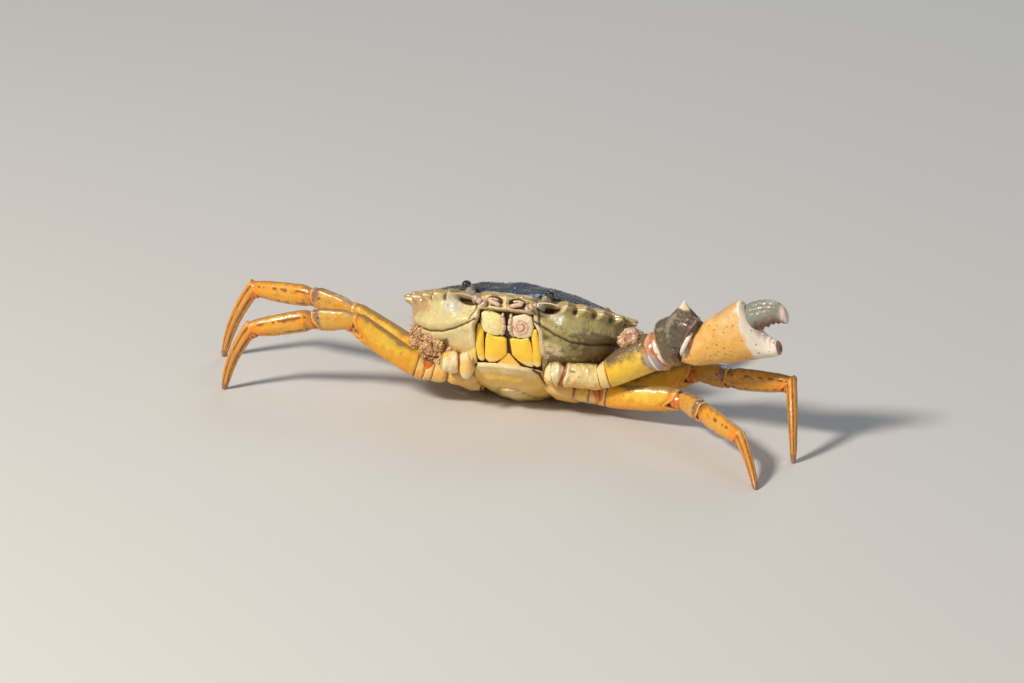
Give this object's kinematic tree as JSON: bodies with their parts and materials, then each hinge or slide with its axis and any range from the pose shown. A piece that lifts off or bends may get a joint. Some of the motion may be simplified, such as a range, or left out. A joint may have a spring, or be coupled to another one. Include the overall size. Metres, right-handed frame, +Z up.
{
  "type": "shore crab model",
  "caption": "Life-size still model of a shore crab squatting with its front raised, left claw held out to the side and right claw shed.",
  "frame": {"origin": "middle of the stance's bounding box, on the floor", "axes": "+Z up, the crab faces -Y, its left side and its claw are towards +X"},
  "size_m": [0.1582, 0.1098, 0.0398],
  "materials": {
    "carapace": "wet dark green shell, tan brow and teeth, fine granules",
    "flank": "pale yellow-green shell with blue-white bloom and brown mottling",
    "face": "pinkish cream plates with dark seams",
    "eye": "dark violet-brown glossy cornea on a cream stalk",
    "mouth_plate": "bright golden yellow plates, upper joints pale, dark seams",
    "breast": "cream-yellow plates with a golden band",
    "claw_base": "cream shell with red-brown joint skin",
    "claw_arm": "dark grey-brown granular shell, orange and white joint skin",
    "palm": "peach-yellow shell with brown dots, fading to white at the fingers",
    "claw_finger": "grey-green to white finger with dark teeth",
    "stump": "cream knob with brown scar tissue",
    "leg": "yellow-orange shell, olive-grey back, dark dots",
    "leg_joint": "olive-yellow shell with violet-grey patches",
    "leg_tip": "orange-brown claw with dark grooves and horn-coloured point"
  },
  "bodies": {
    "root": {"carapace": "carapace", "face": "face", "sternum": "breast", "abdomen": "breast", "flank_left": "flank", "maxilliped_left": "mouth_plate", "flank_right": "flank", "maxilliped_right": "mouth_plate", "eye_left": "eye", "antennule_left": "face", "antenna_left": "face", "eye_right": "eye", "antennule_right": "face", "antenna_right": "face", "claw_left_base": "claw_base", "claw_left_merus": "leg", "claw_left_carpus": "claw_arm", "claw_left_palm": "palm", "claw_left_dactyl": "claw_finger", "claw_right_stump": "stump", "leg_right_1_base": "leg", "leg_right_1_merus": "leg", "leg_right_1_carpus": "leg_joint", "leg_right_1_propodus": "leg", "leg_right_1_dactyl": "leg_tip", "leg_right_2_base": "leg", "leg_right_2_merus": "leg", "leg_right_2_carpus": "leg_joint", "leg_right_2_propodus": "leg", "leg_right_2_dactyl": "leg_tip", "leg_right_3_base": "leg", "leg_right_3_merus": "leg", "leg_right_3_carpus": "leg_joint", "leg_right_3_propodus": "leg", "leg_right_3_dactyl": "leg_tip", "leg_right_4_base": "leg", "leg_right_4_merus": "leg", "leg_right_4_carpus": "leg_joint", "leg_right_4_propodus": "leg", "leg_right_4_dactyl": "leg_tip", "leg_left_1_base": "leg", "leg_left_1_merus": "leg", "leg_left_1_carpus": "leg_joint", "leg_left_1_propodus": "leg", "leg_left_1_dactyl": "leg_tip", "leg_left_2_base": "leg", "leg_left_2_merus": "leg", "leg_left_2_carpus": "leg_joint", "leg_left_2_propodus": "leg", "leg_left_2_dactyl": "leg_tip", "leg_left_3_base": "leg", "leg_left_3_merus": "leg", "leg_left_3_carpus": "leg_joint", "leg_left_3_propodus": "leg", "leg_left_3_dactyl": "leg_tip", "leg_left_4_base": "leg", "leg_left_4_merus": "leg", "leg_left_4_carpus": "leg_joint", "leg_left_4_propodus": "leg", "leg_left_4_dactyl": "leg_tip"}
  },
  "joints": []
}
